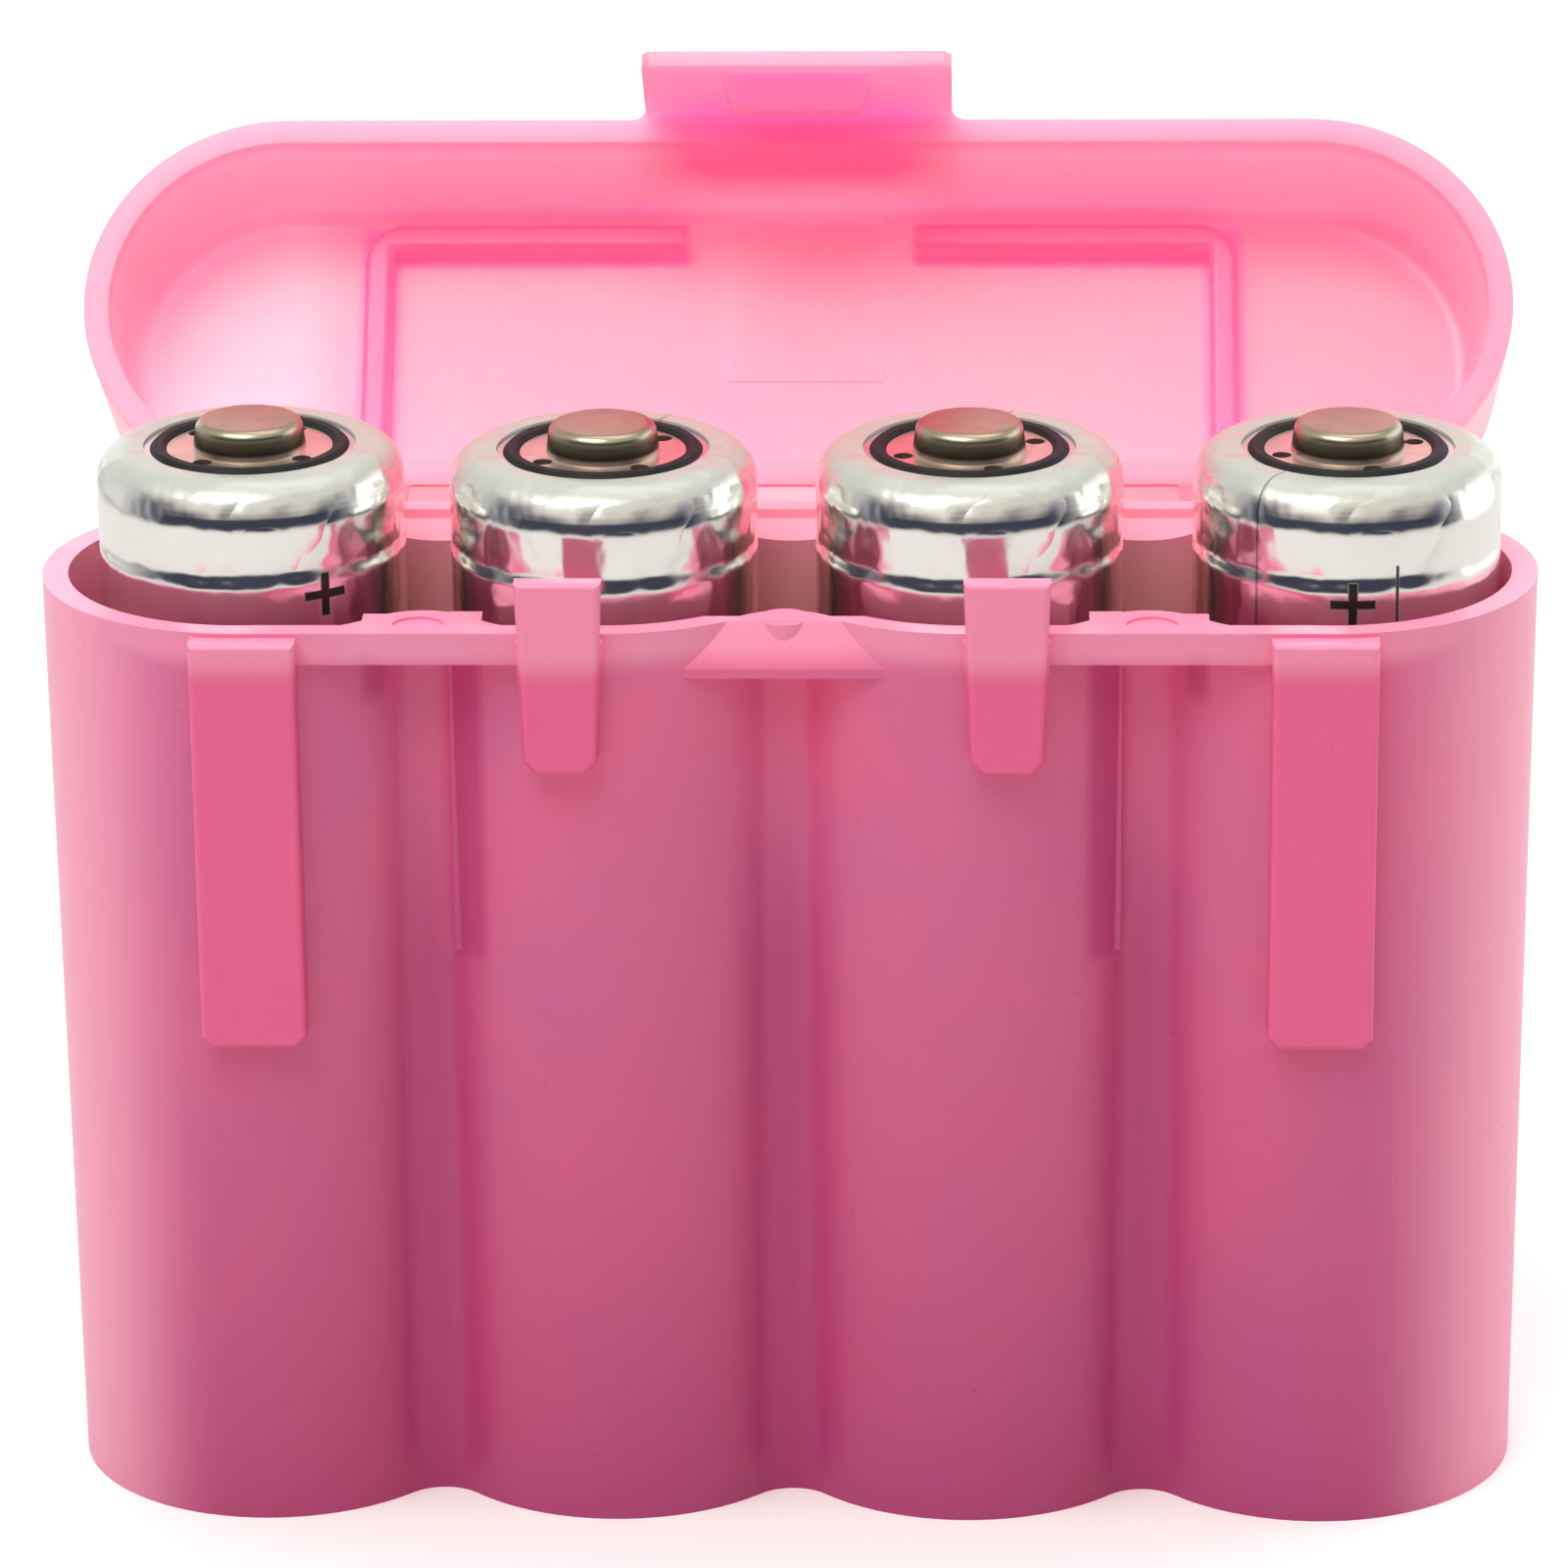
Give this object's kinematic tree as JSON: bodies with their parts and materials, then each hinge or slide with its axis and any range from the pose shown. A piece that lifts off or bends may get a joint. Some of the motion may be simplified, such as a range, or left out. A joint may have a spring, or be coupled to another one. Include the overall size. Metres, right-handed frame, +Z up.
{
  "type": "battery storage case",
  "caption": "Flip-top storage case for AA cells, one translucent pink plastic moulding with a living hinge and snap latch, shown open with its cells inside.",
  "frame": {"origin": "middle of the underside of the case", "axes": "+Z up through the open top, -Y towards the latch, +X along the row of cells to the right seen from the latch side"},
  "size_m": [0.0696, 0.0413, 0.0638],
  "materials": {
    "pink_plastic": "translucent pink polypropylene, smooth semi-gloss",
    "foil_sleeve": "glossy metallised film sleeve, shrunk on",
    "steel_can": "bright nickel-plated steel",
    "nickel_cap": "satin nickel-plated pressing",
    "black_seal": "matt black nylon seal"
  },
  "bodies": {
    "case": {"case_body": "pink_plastic", "living_hinge": "pink_plastic", "cell_1_can": "steel_can", "cell_1_seal": "black_seal", "cell_1_cap": "nickel_cap", "cell_1_sleeve": "foil_sleeve", "cell_2_can": "steel_can", "cell_2_seal": "black_seal", "cell_2_cap": "nickel_cap", "cell_2_sleeve": "foil_sleeve", "cell_3_can": "steel_can", "cell_3_seal": "black_seal", "cell_3_cap": "nickel_cap", "cell_3_sleeve": "foil_sleeve", "cell_4_can": "steel_can", "cell_4_seal": "black_seal", "cell_4_cap": "nickel_cap", "cell_4_sleeve": "foil_sleeve"},
    "lid": {"lid": "pink_plastic"}
  },
  "joints": [
    {"name": "lid_hinge", "type": "hinge", "parent": "case", "child": "lid", "pos_m": [0, 0.01065, 0.0443], "axis": [1, 0, 0], "range_deg": [-49.2, 130.8], "stiffness_Nm_per_rad": 0.01, "deforming": ["living_hinge"]}
  ]
}
